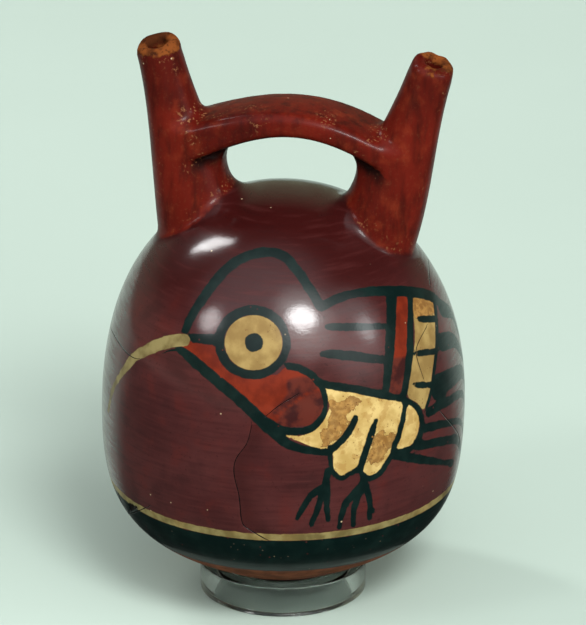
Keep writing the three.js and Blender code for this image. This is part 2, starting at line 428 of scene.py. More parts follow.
def waves(points, size, seed):
    """Smooth hand-made unevenness of about that size, between about -1 and 1."""
    chance = np.random.default_rng(seed)
    total = np.zeros(len(points))
    for _ in range(WAVES):
        heading = chance.normal(size=3)
        heading *= 2 * math.pi / size / np.linalg.norm(heading) * chance.uniform(0.7, 1.3)
        total += np.sin(points @ heading + chance.uniform(0, 2 * math.pi))
    return total / math.sqrt(WAVES)


def along_spout(points, spout):
    """Drop from the mouth along the spout's axis, and distance from that axis."""
    axis = np.array([math.sin(spout["lean"]), 0, math.cos(spout["lean"])])
    offset = points - np.array([spout["mouth"][0], 0, spout["mouth"][1]])
    drop = -(offset @ axis)
    return drop, np.linalg.norm(offset + drop[:, None] * axis, axis=1)


def spout_distance(points, spout):
    drop, radius = along_spout(points, spout)
    flank = np.polyfit(SPOUT_DROPS, spout["radii"], len(SPOUT_DROPS) - 1)
    side = radius - np.polyval(flank, np.clip(drop, 0, SPOUT_END))
    top = -drop * math.cos(spout["tilt"]) - points[:, 1] * math.sin(spout["tilt"])
    return np.maximum(smooth_max(side, top, RIM_ROUND), drop - SPOUT_END)


def bore_distance(points, spout, inset=0):
    drop, radius = along_spout(points, spout)
    return drop, radius - spout["hole"] + inset - BORE_TAPER * np.maximum(drop - BORE_STRAIGHT, 0)


def curve_through(line):
    return np.polyfit([x for x, _ in line], [z for _, z in line], STRAP_CURVE_DEGREE)


CROWN_CURVE = curve_through(STRAP_CROWN_LINE)
UNDER_CURVE = curve_through(STRAP_UNDER_LINE)


def strap_distance(points):
    """Distance from the strap, and the height above its middle as a share of its half thickness."""
    x = np.clip(points[:, 0], STRAP_FIRST_X, STRAP_LAST_X)
    end = np.abs(2 * (x - STRAP_FIRST_X) / (STRAP_LAST_X - STRAP_FIRST_X) - 1) ** 3
    half_width = (STRAP_WIDTH + (STRAP_END_WIDTH - STRAP_WIDTH) * end) / 2
    crown = np.polyval(CROWN_CURVE, x) - STRAP_CROWN * np.minimum(np.abs(points[:, 1]) / half_width, 1) ** 2
    under = np.polyval(UNDER_CURVE, x)
    middle = (crown + under) / 2
    half_height = (crown - under) / 2
    level = np.cos(np.arctan(np.polyval(np.polyder(CROWN_CURVE), x)))
    rise = points[:, 2] - middle
    across = np.abs(points[:, 1]) - half_width + STRAP_CORNER
    up = (np.abs(rise) - half_height) * level + STRAP_CORNER
    past = np.abs(points[:, 0] - x)
    corner = np.sqrt(np.maximum(across, 0) ** 2 + np.maximum(up, 0) ** 2 + past ** 2)
    return corner + np.minimum(np.maximum(across, up), 0) - STRAP_CORNER, rise / half_height


def handle_distance(points):
    """Distance from the spouts and the bridge together, with the mouths worn."""
    spouts = []
    for number, spout in enumerate(SPOUTS):
        drop, _ = along_spout(points, spout)
        worn = np.clip(1 - drop / WEAR_REACH, 0, 1) * WEAR_HEIGHT
        wear = WEAR_EVERYWHERE + waves(points, WEAR_SIZE, WEAR_SEED + number)
        spouts.append(spout_distance(points, spout) + worn * wear)
    strap, rise = strap_distance(points)
    above = np.clip(rise, 0, 1)
    inner = np.clip((STRAP_EDGE_Y - np.abs(points[:, 1])) / STRAP_EDGE_FADE, 0, 1)
    inner = inner * between(points[:, 0], STRAP_UNDER_X, STRAP_UNDER_FADE)
    below = STRAP_FILLET_EDGE + (STRAP_FILLET_BELOW - STRAP_FILLET_EDGE) * inner
    fillet = below + (STRAP_FILLET_ABOVE - below) * above
    return smooth_min(np.minimum(*spouts), strap, fillet)


def pot_distance(points):
    """Distance from the whole pot, solid but for the first stretch of its bores."""
    inner = between(points[:, 0], INNER_FOOT_X, INNER_FOOT_FADE)
    fillet = FOOT_FILLET + (INNER_FOOT_FILLET - FOOT_FILLET) * inner
    clay = smooth_min(body_distance(points), handle_distance(points), fillet)
    lift = np.clip((points[:, 2] - UNEVEN_FROM_Z) / UNEVEN_FADE, 0, 1)
    clay = clay + UNEVEN_HEIGHT * lift * waves(points, UNEVEN_SIZE, UNEVEN_SEED)
    for spout in SPOUTS:
        drop, bore = bore_distance(points, spout)
        clay = smooth_max(clay, -np.maximum(bore, drop - BORE_BLIND_END), MOUTH_ROUND)
    return clay


def hollow_distance(points):
    """Distance from the chamber with the lower stretch of both bores."""
    hollow = body_distance(points) + BODY_WALL
    for spout in SPOUTS:
        drop, bore = bore_distance(points, spout, HOLLOW_BORE_INSET)
        ends = np.maximum(BORE_BLIND_END - HOLLOW_OVERLAP - drop, drop - SPOUT_END)
        hollow = smooth_min(hollow, np.maximum(bore, ends), FOOT_FILLET)
    return hollow


def gradient(distance, points):
    """Unit vectors along which the distance grows."""
    slopes = []
    for axis in range(3):
        shift = np.zeros(3)
        shift[axis] = SLOPE_STEP
        slopes.append(distance(points + shift) - distance(points - shift))
    slope = np.stack(slopes, axis=1)
    return slope / np.maximum(np.linalg.norm(slope, axis=1, keepdims=True), 1e-9)


def sampled(distance, low, shape, step):
    """The distance at each point of a grid, layer by layer."""
    axes = [low[i] + step * np.arange(shape[i]) for i in range(3)]
    y, z = np.meshgrid(axes[1], axes[2], indexing="ij")
    values = np.empty(shape)
    for i, x in enumerate(axes[0]):
        layer = np.stack([np.full(y.size, x), y.ravel(), z.ravel()], axis=1)
        values[i] = distance(layer).reshape(y.shape)
    return values


def surface_net(distance, low, high, step):
    """A closed net of quads on the surface where the distance is zero."""
    shape = np.ceil((high - low) / step).astype(int) + 1
    values = sampled(distance, low, shape, step)
    inside = values < 0
    corners = np.array([(a, b, c) for a in (0, 1) for b in (0, 1) for c in (0, 1)])
    spans = shape - 1
    count = sum(inside[a:a + spans[0], b:b + spans[1], c:c + spans[2]].astype(int) for a, b, c in corners)
    cells = np.argwhere((count > 0) & (count < len(corners)))
    number = np.full(count.shape, -1)
    number[tuple(cells.T)] = np.arange(len(cells))
    total = np.zeros((len(cells), 3))
    hits = np.zeros(len(cells))
    for corner in corners:
        for axis in np.flatnonzero(corner == 0):
            other = corner.copy()
            other[axis] = 1
            here = values[tuple((cells + corner).T)]
            there = values[tuple((cells + other).T)]
            cut = (here < 0) != (there < 0)
            crossing = np.tile(corner.astype(float), (cut.sum(), 1))
            crossing[:, axis] = here[cut] / (here[cut] - there[cut])
            total[cut] += crossing
            hits[cut] += 1
    points = low + step * (cells + total / hits[:, None])
    return points, net_faces(inside, number)


def net_faces(inside, number):
    """One quad round each grid edge that crosses the surface, facing out."""
    faces = []
    for axis in range(3):
        lower = np.take(inside, range(inside.shape[axis] - 1), axis=axis)
        upper = np.take(inside, range(1, inside.shape[axis]), axis=axis)
        edges = np.argwhere(lower != upper)
        side = np.eye(3, dtype=int)[(axis + 1) % 3]
        rise = np.eye(3, dtype=int)[(axis + 2) % 3]
        around = [edges, edges - side, edges - side - rise, edges - rise]
        quads = np.stack([number[tuple(cell.T)] for cell in around], axis=1)
        outward = lower[tuple(edges.T)]
        quads[~outward] = quads[~outward][:, ::-1]
        faces.append(quads)
    return np.vstack(faces)


def settled(points, faces, distance, rounds):
    """The points evened out along the surface and set on to it exactly."""
    size = len(points)
    starts = faces.ravel()
    ends = np.roll(faces, -1, axis=1).ravel()
    degree = np.bincount(starts, minlength=size)[:, None]
    for _ in range(rounds):
        near = [np.bincount(starts, weights=points[ends, axis], minlength=size) for axis in range(3)]
        drift = np.stack(near, axis=1) / degree - points
        normal = gradient(distance, points)
        points = points + EVENING * (drift - normal * np.sum(drift * normal, axis=1, keepdims=True))
        points = points - normal * distance(points)[:, None]
    return points - gradient(distance, points) * distance(points)[:, None]


def mesh_object(name, points, faces):
    mesh = bpy.data.meshes.new(name)
    mesh.from_pydata((points * MM).tolist(), [], faces.tolist())
    mesh.update()
    item = bpy.data.objects.new(name, mesh)
    bpy.context.collection.objects.link(item)
    return item


def carve(item, tool):
    """Cuts the tool's shape out of the item's mesh and removes the tool."""
    cut = item.modifiers.new("hollow", "BOOLEAN")
    cut.operation = "DIFFERENCE"
    cut.solver = "EXACT"
    cut.object = tool
    bpy.context.view_layer.update()
    finished = bpy.data.meshes.new_from_object(item.evaluated_get(bpy.context.evaluated_depsgraph_get()))
    item.modifiers.clear()
    item.data = finished
    bpy.data.objects.remove(tool)


def shade_smooth(item):
    item.data.polygons.foreach_set("use_smooth", np.ones(len(item.data.polygons), bool))


def vertex_rows(item, name):
    """The places ("co") or normals of an object's vertices."""
    flat = np.empty(len(item.data.vertices) * 3)
    item.data.vertices.foreach_get(name, flat)
    return flat.reshape(-1, 3)


def build_pot():
    margin = 2 * HOLLOW_STEP
    low = np.array(cad_low) / MM - margin
    high = np.array(cad_high) / MM + margin
    points, faces = surface_net(pot_distance, low, high, SKIN_STEP)
    pot = mesh_object("painted_bottle", settled(points, faces, pot_distance, SKIN_ROUNDS), faces)
    points, faces = surface_net(hollow_distance, low, high, HOLLOW_STEP)
    carve(pot, mesh_object("hollow", settled(points, faces, hollow_distance, HOLLOW_ROUNDS), faces))
    shade_smooth(pot)
    return pot


def smooth_path(corners, closed=False, steps=6):
    """A smooth run of points through the corners."""
    corners = np.array(corners, float)
    if closed:
        padded = np.vstack([corners[-1:], corners, corners[:2]])
    else:
        padded = np.vstack([2 * corners[0] - corners[1], corners, 2 * corners[-1] - corners[-2]])
    t = np.linspace(0, 1, steps, endpoint=False)[:, None]
    runs = []
    for a, b, c, d in zip(padded[:-3], padded[1:-2], padded[2:-1], padded[3:]):
        runs.append(b + (c - a) * t / 2 + (2 * a - 5 * b + 4 * c - d) * t ** 2 / 2
                    + (3 * b - a - 3 * c + d) * t ** 3 / 2)
    path = np.vstack(runs)
    return np.vstack([path, corners[:1] if closed else corners[-1:]])


def close_by(points, path):
    """Which points lie in or near the box round a path."""
    return np.all((points > path.min(axis=0) - FAR) & (points < path.max(axis=0) + FAR), axis=1)


def stroke_depth(points, path, widths):
    """How deep points lie inside a brush stroke along a path; negative outside it."""
    depth = np.full(len(points), -FAR)
    near = close_by(points, path)
    spots = points[near]
    best = np.full(len(spots), -FAR)
    for (_, _, share, away), first, last in zip(along_runs(spots, path), widths[:-1], widths[1:]):
        best = np.maximum(best, (first + (last - first) * share) / 2 - away)
    depth[near] = best
    return depth


def brushed(pixels, corners):
    path = smooth_path(corners)
    return stroke_depth(pixels, path[:, :2], path[:, 2])


def patch_depth(pixels, corners):
    """How deep pixels lie inside a painted patch; negative outside it."""
    outline = smooth_path(corners, closed=True, steps=4)
    gap = -stroke_depth(pixels, outline, np.zeros(len(outline)))
    x, y = pixels.T
    inside = np.zeros(len(pixels), bool)
    for (x0, y0), (x1, y1) in zip(outline[:-1], outline[1:]):
        if y0 != y1:
            inside ^= ((y0 > y) != (y1 > y)) & (x < (x1 - x0) * (y - y0) / (y1 - y0) + x0)
    return np.where(inside, gap, -gap)


def disc_depth(pixels, disc):
    half = np.array(disc["half"])
    return (1 - np.linalg.norm((pixels - disc["centre"]) / half, axis=1)) * half.min()


def nearest_line(pixels, lines):
    """Signed distance from the nearest thin line, as a share of its half width, and the plain distance."""
    signed = np.full(len(pixels), FAR)
    near = np.full(len(pixels), FAR)
    for corners in lines:
        path = smooth_path(corners)
        line, widths = path[:, :2], path[:, 2]
        spots = np.flatnonzero(close_by(pixels, line))
        runs = along_runs(pixels[spots], line)
        for (run, offset, share, away), first, last in zip(runs, widths[:-1], widths[1:]):
            closer = away < near[spots]
            side = np.sign(run[0] * offset[:, 1] - run[1] * offset[:, 0])
            half_width = (first + (last - first) * share) / 2
            near[spots[closer]] = away[closer]
            signed[spots[closer]] = (side * away / half_width)[closer]
    return signed, near


def on_body(pixel):
    """The point of the body that shows at a pixel."""
    across = pixel[0] - PHOTO_SIZE[0] / 2
    up = PHOTO_SIZE[1] / 2 - pixel[1]
    aim = -BACK * FOCAL_PIXELS + RIGHT * across + UP * up
    aim /= np.linalg.norm(aim)
    spot = EYE.copy()
    for _ in range(SIGHT_STEPS):
        spot = spot + aim * body_distance(spot[None])[0]
    return spot


def round_body(angle, height):
    """The point of the body at an angle from the front, in degrees, and a height."""
    radius = np.interp(height, PROFILE[:, 1], PROFILE[:, 0])
    turn = math.radians(angle)
    return np.array([radius * math.sin(turn), -radius * math.cos(turn), height])


def tail_depth(points):
    """How deep points lie inside the tail's stripes, in millimetres."""
    depth = np.full(len(points), -FAR)
    for stripe in TAIL_STRIPES:
        corners = [[*on_body(corner[:2]), corner[2]] for corner in stripe["seen"]]
        if stripe["beyond"]:
            angle, height, width = stripe["beyond"]
            corners.append([*round_body(angle, height), width])
        path = smooth_path(corners)
        depth = np.maximum(depth, stroke_depth(points, path[:, :3], path[:, 3]))
    return depth


def deepest(pixels, shapes, measure):
    return np.max([measure(pixels, corners) for corners in shapes.values()], axis=0)


def bird_fields(points, facing):
    """Depth of each colour of one bird, in millimetres, seen as in the photograph."""
    pixels = pixels_of(points)
    disc = disc_depth(pixels, EYE_DISC)
    beak = brushed(pixels, BEAK)
    ring = np.minimum(disc_depth(pixels, EYE_RING), -disc)
    black = np.max([deepest(pixels, BLACK_STROKES, brushed), ring, disc_depth(pixels, PUPIL)], axis=0)
    fields = {
        "red": deepest(pixels, RED_PATCHES, patch_depth),
        "shaded": deepest(pixels, SHADED_PATCHES, patch_depth),
        "cream": np.max([deepest(pixels, CREAM_PATCHES, patch_depth), disc, beak], axis=0),
        "dull": beak + DULL_EDGE,
        "pale": deepest(pixels, {name: CREAM_PATCHES[name] for name in PALE_PATCHES}, patch_depth),
        "black": np.minimum(black, -beak),
    }
    for name in fields:
        fields[name] = np.where(facing > 0, np.maximum(fields[name], -FAR), -FAR) * PIXEL
    fields["black"] = np.maximum(fields["black"], tail_depth(points))
    return fields


def mouth_depth(points, spout):
    """How deep points lie in the bare clay round a spout's mouth."""
    drop, _ = along_spout(points, spout)
    return spout["bare"] - drop - spout["slant"] * np.maximum(spout["mouth"][0] - points[:, 0], 0)


def paint_fields(points, normals):
    """Every painted or worn field of the pot, one number for each vertex."""
    half_turn = np.array([-1, -1, 1])
    front = bird_fields(points, normals @ BACK)
    rear = bird_fields(points * half_turn, (normals * half_turn) @ BACK)
    fields = {name: np.maximum(front[name], rear[name]) for name in front}
    handle = handle_distance(points)
    fields["spout"] = SPOUT_PAINT_EDGE - handle
    mouths = np.max([mouth_depth(points, spout) for spout in SPOUTS], axis=0)
    fields["bare"] = np.where(handle < FAR, mouths, -FAR)
    # How hollow each point lies; the spouts' slip reads it for painted shade with dirt in creases, and for
    # flecks.
    fields["cavity"] = 1 - pot_distance(points + normals * CAVITY_REACH) / CAVITY_REACH
    # Painted shadow with grime under the bridge's ends: how far below the strap a point lies, for the
    # spouts' slip.
    strap, rise = strap_distance(points)
    bridge_shadow_span = between(points[:, 0], BRIDGE_SHADOW_X, BRIDGE_SHADOW_FADE)
    fields["under"] = np.where(rise < BRIDGE_SHADOW_RISE, (1 - np.abs(strap) / BRIDGE_SHADOW_REACH) * bridge_shadow_span, 0)
    pixels = pixels_of(points)
    facing = normals @ BACK > 0

    def seen(depth):
        return np.where(facing, depth, -FAR) * PIXEL
    fields["chip"] = seen(patch_depth(pixels, CHIP_EDGE))
    join = np.array(CRACKS["join"])
    beside = facing & (pixels[:, 1] > join[0, 1]) & (pixels[:, 1] < join[-1, 1])
    right_of_join = pixels[:, 0] - np.interp(pixels[:, 1], join[:, 1], join[:, 0])
    fields["shard"] = np.where(beside, right_of_join, -FAR) * PIXEL
    fields["stain"] = seen(deepest(pixels, STAINS, patch_depth))
    for name, lines in (("line", THIN_LINES), ("crack", CRACKS)):
        share, gap = nearest_line(pixels, lines.values())
        fields[name] = np.where(facing, share, FAR)
        fields[name + "_near"] = seen(-gap)
    inner = body_distance(points) < -BODY_WALL / 2
    for name in ("red", "shaded", "cream", "black", "stain", "line_near", "crack_near"):
        fields[name][inner] = -FAR
    return fields


def wear_shape(item):
    """Sets the shards a little out of line at the old join and takes out the chip."""
    points = vertex_rows(item, "co") / MM
    normals = vertex_rows(item, "normal")
    pixels = pixels_of(points)
    seen = (normals @ BACK > 0) & (body_distance(points) > -BODY_WALL / 2)
    share, gap = nearest_line(pixels, [CRACKS["join"]])
    step = STEP_HEIGHT * np.sign(share) * np.clip(gap / STEP_EDGE, 0, 1) * np.clip(1 - gap / FAR, 0, 1)
    chip = CHIP["depth"] * np.clip(disc_depth(pixels, CHIP) / min(CHIP["half"]), 0, 1)
    points = points + normals * np.where(seen, step - chip, 0)[:, None]
    item.data.vertices.foreach_set("co", (points * MM).ravel())
    item.data.update()


def store(item, name, values):
    """Keeps one number for each vertex, for the material to read."""
    attribute = item.data.attributes.new(name, "FLOAT", "POINT")
    attribute.data.foreach_set("value", values.astype(np.float32))


def store_fields(item):
    fields = paint_fields(vertex_rows(item, "co") / MM, vertex_rows(item, "normal"))
    for name, values in fields.items():
        store(item, name, values)


class Nodes:
    """Adds nodes to one node tree."""

    def __init__(self, tree):
        self.tree = tree

    def feed(self, socket, value):
        if isinstance(value, bpy.types.NodeSocket):
            self.tree.links.new(value, socket)
        else:
            socket.default_value = value

    def node(self, kind, inputs, **settings):
        """The outputs of a new node, which has these inputs, by name or number, and settings."""
        made = self.tree.nodes.new(kind)
        for name, value in settings.items():
            setattr(made, name, value)
        for name, value in inputs.items():
            self.feed(made.inputs[name], value)
        return made.outputs

    def ramp(self, value, low, high, start=0.0, end=1.0):
        inputs = dict(enumerate((value, low, high, start, end)))
        return self.node("ShaderNodeMapRange", inputs, interpolation_type="SMOOTHSTEP")[0]

    def mix(self, share, first, second):
        return self.node("ShaderNodeMix", {0: share, 6: first, 7: second}, data_type="RGBA")[2]

    def height(self, place):
        return self.node("ShaderNodeSeparateXYZ", {0: place})[2]


def math_node(operation):
    """A shader's method that makes one kind of sum."""
    def make(self, first, second=0.0):
        return self.node("ShaderNodeMath", {0: first, 1: second}, operation=operation)[0]
    return make


class Shader(Nodes):
    """Builds one material, with lengths in millimetres."""
    plus = math_node("ADD")
    less = math_node("SUBTRACT")
    times = math_node("MULTIPLY")
    most = math_node("MAXIMUM")
    least = math_node("MINIMUM")
    size = math_node("ABSOLUTE")

    def __init__(self, name):
        self.material = bpy.data.materials.new(name)
        self.material.use_nodes = True
        super().__init__(self.material.node_tree)
        place = self.node("ShaderNodeTexCoord", {})["Object"]
        self.place = self.node("ShaderNodeVectorMath", {0: place, "Scale": 1 / MM}, operation="SCALE")[0]

    def set(self, name, value):
        """Sets or feeds one of the surface's own sockets."""
        self.feed(self.tree.nodes["Principled BSDF"].inputs[name], value)

    def swing(self, noise, reach):
        """A noise about zero."""
        return self.times(self.less(noise, 0.5), reach)

    def blend(self, share, first, second):
        return self.node("ShaderNodeMix", {0: share, 2: first, 3: second}, data_type="FLOAT")[0]

    def spread(self, seed, stretch=(1, 1, 1)):
        shift = [step * seed for step in NOISE_STEPS]
        scale = [1 / length for length in stretch]
        return self.node("ShaderNodeMapping", {"Vector": self.place, "Location": shift, "Scale": scale})[0]

    def noise(self, size, seed, detail=3.0, stretch=(1, 1, 1)):
        place = self.spread(seed, stretch)
        return self.node("ShaderNodeTexNoise", {"Vector": place, "Scale": 1 / size, "Detail": detail})[0]

    def specks(self, spacing, seed):
        """Distance from scattered specks, as a share of their spacing."""
        inputs = {"Vector": self.spread(seed), "Scale": 1 / spacing}
        return self.node("ShaderNodeTexVoronoi", inputs)["Distance"]

    def field(self, name):
        return self.node("ShaderNodeAttribute", {}, attribute_name=name)["Fac"]

    def bump(self, height):
        normal = self.node("ShaderNodeBump", {"Strength": 1.0, "Distance": MM, "Height": height})[0]
        self.set("Normal", normal)
        self.set("Coat Normal", normal)


class PotShader(Shader):
    """The pot's material, with the noises that its paints share."""

    def __init__(self):
        super().__init__("slip_painted_clay")
        self.ragged = self.swing(self.noise(2.6, 1, 4), 0.9)
        self.streak = self.noise(1.1, 2, 5, (12, 12, 1))
        self.cloud = self.noise(24, 3, 4)
        self.mottle = self.noise(5, 4, 5)
        self.z = self.height(self.place)

    def covered(self, depth, soft=0.16):
        """How far a paint covers at a depth inside its ragged edge."""
        return self.ramp(self.plus(depth, self.ragged), -soft, soft)

    def toned(self, noise, low, high, dark, light):
        """Two tones of a paint, by a noise."""
        return self.mix(self.ramp(noise, low, high), colour(*dark), colour(*light))

    def layered(self, paint, layers):
        """A paint with more tones over it, each given as its share and its colour."""
        for share, tone in layers:
            paint = self.mix(share, paint, colour(*tone))
        return paint


def colour(red, green, blue):
    """A colour given as it shows on a screen, for a shader."""
    shares = [value / 255 for value in (red, green, blue)]
    return [s / 12.92 if s <= 0.04045 else ((s + 0.055) / 1.055) ** 2.4 for s in shares] + [1]


def maroon_slip(s):
    """The body's slip: clouds, blotches, burnishing streaks, a darker top and a darker shard."""
    blotch = s.noise(9, 26, 4)
    top = s.plus(s.z, s.times(s.cloud, 30.0))
    shard = s.field("shard")
    return s.layered(s.toned(s.cloud, 0.3, 0.7, (60, 24, 24), (74, 34, 33)), [
        (s.ramp(blotch, 0.52, 0.7, 0, 0.5), (84, 29, 25)),
        (s.ramp(blotch, 0.48, 0.3, 0, 0.5), (48, 22, 22)),
        (s.ramp(s.streak, 0.5, 0.75, 0, 0.3), (80, 38, 36)),
        (s.ramp(top, 112, 134), (49, 12, 11)),
        (s.ramp(s.streak, 0.52, 0.72, 0, 0.3), (76, 34, 33)),
        (s.ramp(s.streak, 0.5, 0.3, 0, 0.3), (40, 13, 13)),
        (s.ramp(s.noise(0.9, 22, 3), 0.6, 0.75, 0, 0.5), (36, 13, 12)),
        (s.times(s.ramp(shard, -0.1, 0.1), s.ramp(shard, 9, 1, 0, 0.5)), (44, 13, 12)),
    ])


def brick_slip(s):
    """The slip of the spouts and bridge: streaks, dirt with painted shade in creases, painted shadow with
    grime under the bridge, and pale flecks.
    """
    cavity = s.field("cavity")
    # Painted shade with dirt: the slip darkens in creases and hollows.
    crease_shade_and_dirt = s.plus(cavity, s.swing(s.mottle, 0.6))
    # Painted shadow with grime: the slip turns nearly black under the bridge's ends.
    bridge_shadow_and_grime = s.plus(s.field("under"), s.swing(s.mottle, 0.5))
    paint = s.layered(s.toned(s.cloud, 0.35, 0.65, (76, 16, 9), (94, 22, 12)), [
        (s.ramp(s.z, 154, 168, 0, 0.6), (62, 13, 8)),
        (s.ramp(s.mottle, 0.5, 0.75, 0, 0.5), (116, 42, 22)),
        (s.ramp(s.noise(3, 14, 5, (1, 1, 4)), 0.42, 0.78, 0, 0.8), (48, 11, 7)),
        (s.ramp(crease_shade_and_dirt, 0.3, 0.75, 0, 0.75), (26, 9, 6)),
        (s.ramp(bridge_shadow_and_grime, 0.12, 0.75, 0, 0.92), (14, 5, 4)),
    ])
    patchy = s.plus(s.noise(9, 10, 4), s.times(cavity, 0.4))
    flecks = s.times(s.ramp(s.noise(0.9, 9, 3), 0.56, 0.7), s.ramp(patchy, 0.52, 0.7, 0.06, 0.85))
    return s.mix(flecks, paint, s.mix(s.mottle, colour(112, 58, 30), colour(156, 112, 76)))


def red_paint(s):
    shade = s.toned(s.mottle, 0.4, 0.6, (48, 18, 18), (82, 33, 25))
    shaded = s.times(s.covered(s.field("shaded"), 0.7), 0.95)
    return s.mix(shaded, s.toned(s.mottle, 0.35, 0.65, (90, 26, 12), (113, 36, 17)), shade)


def cream_paint(s):
    """Cream with a paler belly, stains with darker rims, and small brown dots."""
    belly = s.toned(s.mottle, 0.35, 0.7, (170, 139, 80), (198, 170, 110))
    belly = s.mix(s.ramp(s.noise(3, 24, 5), 0.52, 0.6, 0, 0.55), belly, colour(156, 118, 62))
    cream = s.toned(s.mottle, 0.35, 0.7, (128, 102, 58), (155, 130, 79))
    cream = s.mix(s.covered(s.field("pale")), cream, belly)
    stained = s.plus(s.field("stain"), s.swing(s.noise(2.4, 15, 5), 6.0))
    stain = s.toned(s.noise(1.6, 25, 4), 0.4, 0.65, (118, 78, 36), (156, 114, 60))
    stain = s.mix(s.ramp(stained, 0.05, 0.4, 0.85, 0), stain, colour(88, 50, 22))
    cream = s.mix(s.ramp(stained, -0.12, 0.12, 0, 0.85), cream, stain)
    patchy = s.plus(s.noise(4, 16, 3), s.ramp(stained, -1.5, 0, 0, 0.12))
    dots = s.times(s.ramp(s.noise(0.7, 12, 2), 0.62, 0.7, 0, 0.8), s.ramp(patchy, 0.5, 0.62))
    return s.mix(dots, cream, colour(92, 50, 26))


def bare_clay(s):
    """Unpainted clay, orange at the mouths, browner under the body, and darkened inside the ring as painted
    shade.
    """
    clay = s.toned(s.mottle, 0.4, 0.6, (64, 31, 13), (114, 61, 26))
    clay = s.mix(s.ramp(s.noise(1.4, 17, 3), 0.55, 0.7, 0, 0.7), clay, colour(36, 15, 7))
    clay = s.mix(s.ramp(s.z, 60, 30), clay, s.toned(s.mottle, 0.4, 0.65, (88, 50, 34), (112, 64, 44)))
    # Painted shade inside the display ring: the lowest clay is darkened.
    return s.mix(s.ramp(s.z, 15, 11), clay, colour(30, 18, 14))


def line_depth(s, name, reach):
    """How deep a point lies inside the nearest thin line of a kind."""
    width = s.less(1.0, s.size(s.field(name)))
    return s.least(width, s.plus(s.field(name + "_near"), reach))


def pot_material():
    s = PotShader()
    line = s.less(CREAM_LINE_HALF, s.size(s.less(s.z, CREAM_LINE_Z)))
    band = s.least(s.less(CREAM_LINE_Z, s.z), s.less(s.z, BLACK_BAND_LOW))
    red_here = s.covered(s.field("red"))
    cream_here = s.covered(s.most(s.field("cream"), line))
    black_depth = s.least(s.most(s.field("black"), band), s.times(line, -1.0))
    black_here = s.covered(s.most(black_depth, line_depth(s, "line", 1.5)))
    black_here = s.times(black_here, s.ramp(s.specks(4.2, 6), 0.05, 0.09))
    mouths = s.plus(s.field("bare"), s.times(s.mottle, 9.0))
    bare_here = s.covered(s.most(mouths, s.less(BLACK_BAND_LOW, s.z)), 0.5)
    crack_here = s.ramp(s.plus(line_depth(s, "crack", 1.2), s.ragged), -0.1, 0.7)
    crack_here = s.most(crack_here, s.covered(s.field("chip")))

    spout = s.field("spout")
    paint = s.mix(s.ramp(s.plus(spout, s.ragged), -0.4, 0.4), maroon_slip(s), brick_slip(s))
    paint = s.mix(red_here, paint, red_paint(s))
    dull_line = s.times(s.ramp(line, -0.4, 0.4), s.ramp(s.noise(16, 13, 3), 0.45, 0.7, 1, 0.4))
    dulled = s.most(s.ramp(s.field("dull"), -0.4, 0.4), dull_line)
    dull = s.toned(s.mottle, 0.35, 0.65, (99, 85, 50), (134, 120, 78))
    paint = s.mix(cream_here, paint, s.mix(dulled, cream_paint(s), dull))
    paint = s.mix(black_here, paint, s.toned(s.mottle, 0.4, 0.7, (4, 21, 19), (12, 30, 27)))
    paint = s.mix(bare_here, paint, bare_clay(s))
    pale = s.times(s.ramp(s.specks(6, 7), 0.03, 0.06, 0.9, 0), s.ramp(s.noise(20, 18, 2), 0.48, 0.56))
    grit = s.times(s.ramp(s.specks(2.2, 19), 0.06, 0.14, 0.6, 0), s.ramp(band, 0.2, 1.0))
    grit = s.times(grit, s.ramp(s.noise(5, 20, 3), 0.5, 0.6))
    s.set("Base Color", s.layered(paint, [
        (pale, (186, 160, 128)), (grit, (116, 98, 84)), (crack_here, (18, 9, 8)),
    ]))

    rough = s.blend(cream_here, s.ramp(s.streak, 0.3, 0.7, 0.4, 0.5), 0.5)
    rough = s.blend(bare_here, rough, 0.85)
    s.set("Roughness", s.blend(crack_here, rough, 0.9))
    relief = s.plus(s.times(s.noise(0.7, 5, 3), 0.014), s.times(s.streak, 0.005))
    relief = s.plus(relief, s.times(s.noise(12, 8, 2), 0.1))
    relief = s.plus(relief, s.times(bare_here, s.times(s.mottle, 0.35)))
    s.bump(s.less(relief, s.times(crack_here, 0.2)))
    s.set("Specular IOR Level", 0.04)
    gloss = s.blend(s.ramp(spout, -2.4, 0.2), s.ramp(s.streak, 0.3, 0.7, 0.9, 0.7), 0.12)
    shines = [(red_here, 0.5), (cream_here, 0.3), (black_here, 0.55), (s.ramp(band, -0.4, 0.4), 0.2),
              (bare_here, 0.0)]
    for here, shine in shines:
        gloss = s.blend(here, gloss, shine)
    s.set("Coat Weight", gloss)
    s.set("Coat Roughness", 0.14)
    return s.material


def acrylic_material():
    s = Shader("clear_acrylic")
    s.set("Base Color", colour(232, 236, 233))
    s.set("Transmission Weight", 1)
    s.set("IOR", 1.49)
    scuffs = s.noise(0.6, 11, 4, (14, 14, 1))
    s.set("Roughness", s.ramp(scuffs, 0.5, 0.85, 0.015, 0.12))
    return s.material


def matte_material(name, share, first, second):
    """A dull surface of two colours, for the stage."""
    s = Shader(name)
    s.set("Base Color", s.mix(share(s), colour(*first), colour(*second)))
    s.set("Roughness", 0.9)
    s.set("Specular IOR Level", 0.1)
    return s.material


def turned(name, profile, sides):
    """A ring of quads turned from a closed profile of (radius, height) points."""
    profile = np.array(profile, float)
    rows = len(profile)
    turns = np.arange(sides) * 2 * math.pi / sides
    points = np.stack([np.outer(np.cos(turns), profile[:, 0]), np.outer(np.sin(turns), profile[:, 0]),
                       np.tile(profile[:, 1], (sides, 1))], axis=-1).reshape(-1, 3)
    faces = []
    for turn in range(sides):
        for row in range(rows):
            ahead = (turn + 1) % sides * rows
            above = (row + 1) % rows
            faces.append((turn * rows + row, ahead + row, ahead + above, turn * rows + above))
    return mesh_object(name, points, np.array(faces))


